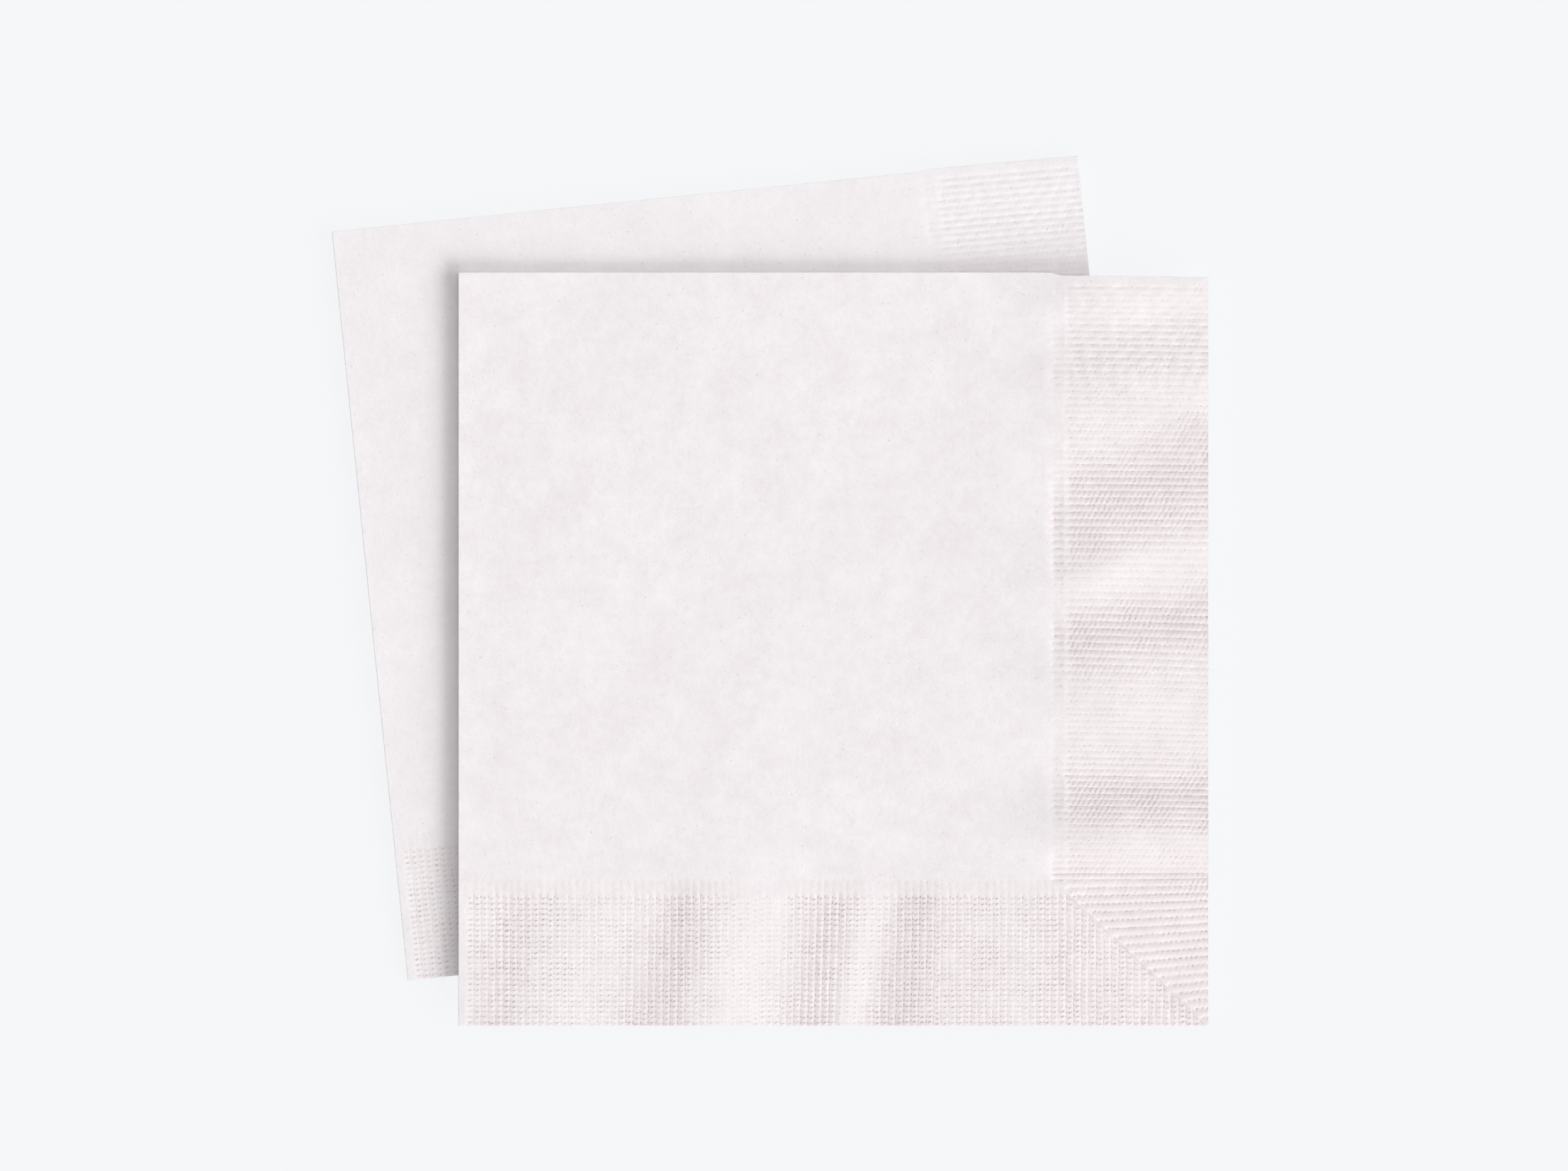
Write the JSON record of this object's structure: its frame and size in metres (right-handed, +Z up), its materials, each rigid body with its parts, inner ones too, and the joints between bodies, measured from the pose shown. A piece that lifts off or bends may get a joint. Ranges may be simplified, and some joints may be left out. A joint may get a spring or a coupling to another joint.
{
  "type": "stack of folded paper napkins",
  "caption": "Quarter-folded paper napkins stacked askew, with a ribbed coined border that meets on a mitre at the open corner.",
  "frame": {"origin": "centre of the bounding box of the whole stack, on the surface it lies on", "axes": "+X to the right of the picture, towards the ribbed free edge of the upper napkin; +Y to the top of the picture, towards its first fold; +Z up, through the thickness of the stack"},
  "size_m": [0.1461, 0.145, 0.0043],
  "materials": {
    "napkin_paper": "off-white three-ply tissue, matte and fibrous, finely coined along the free edges"
  },
  "bodies": {
    "root": {"bottom_napkin": "napkin_paper", "top_napkin": "napkin_paper"}
  },
  "joints": []
}
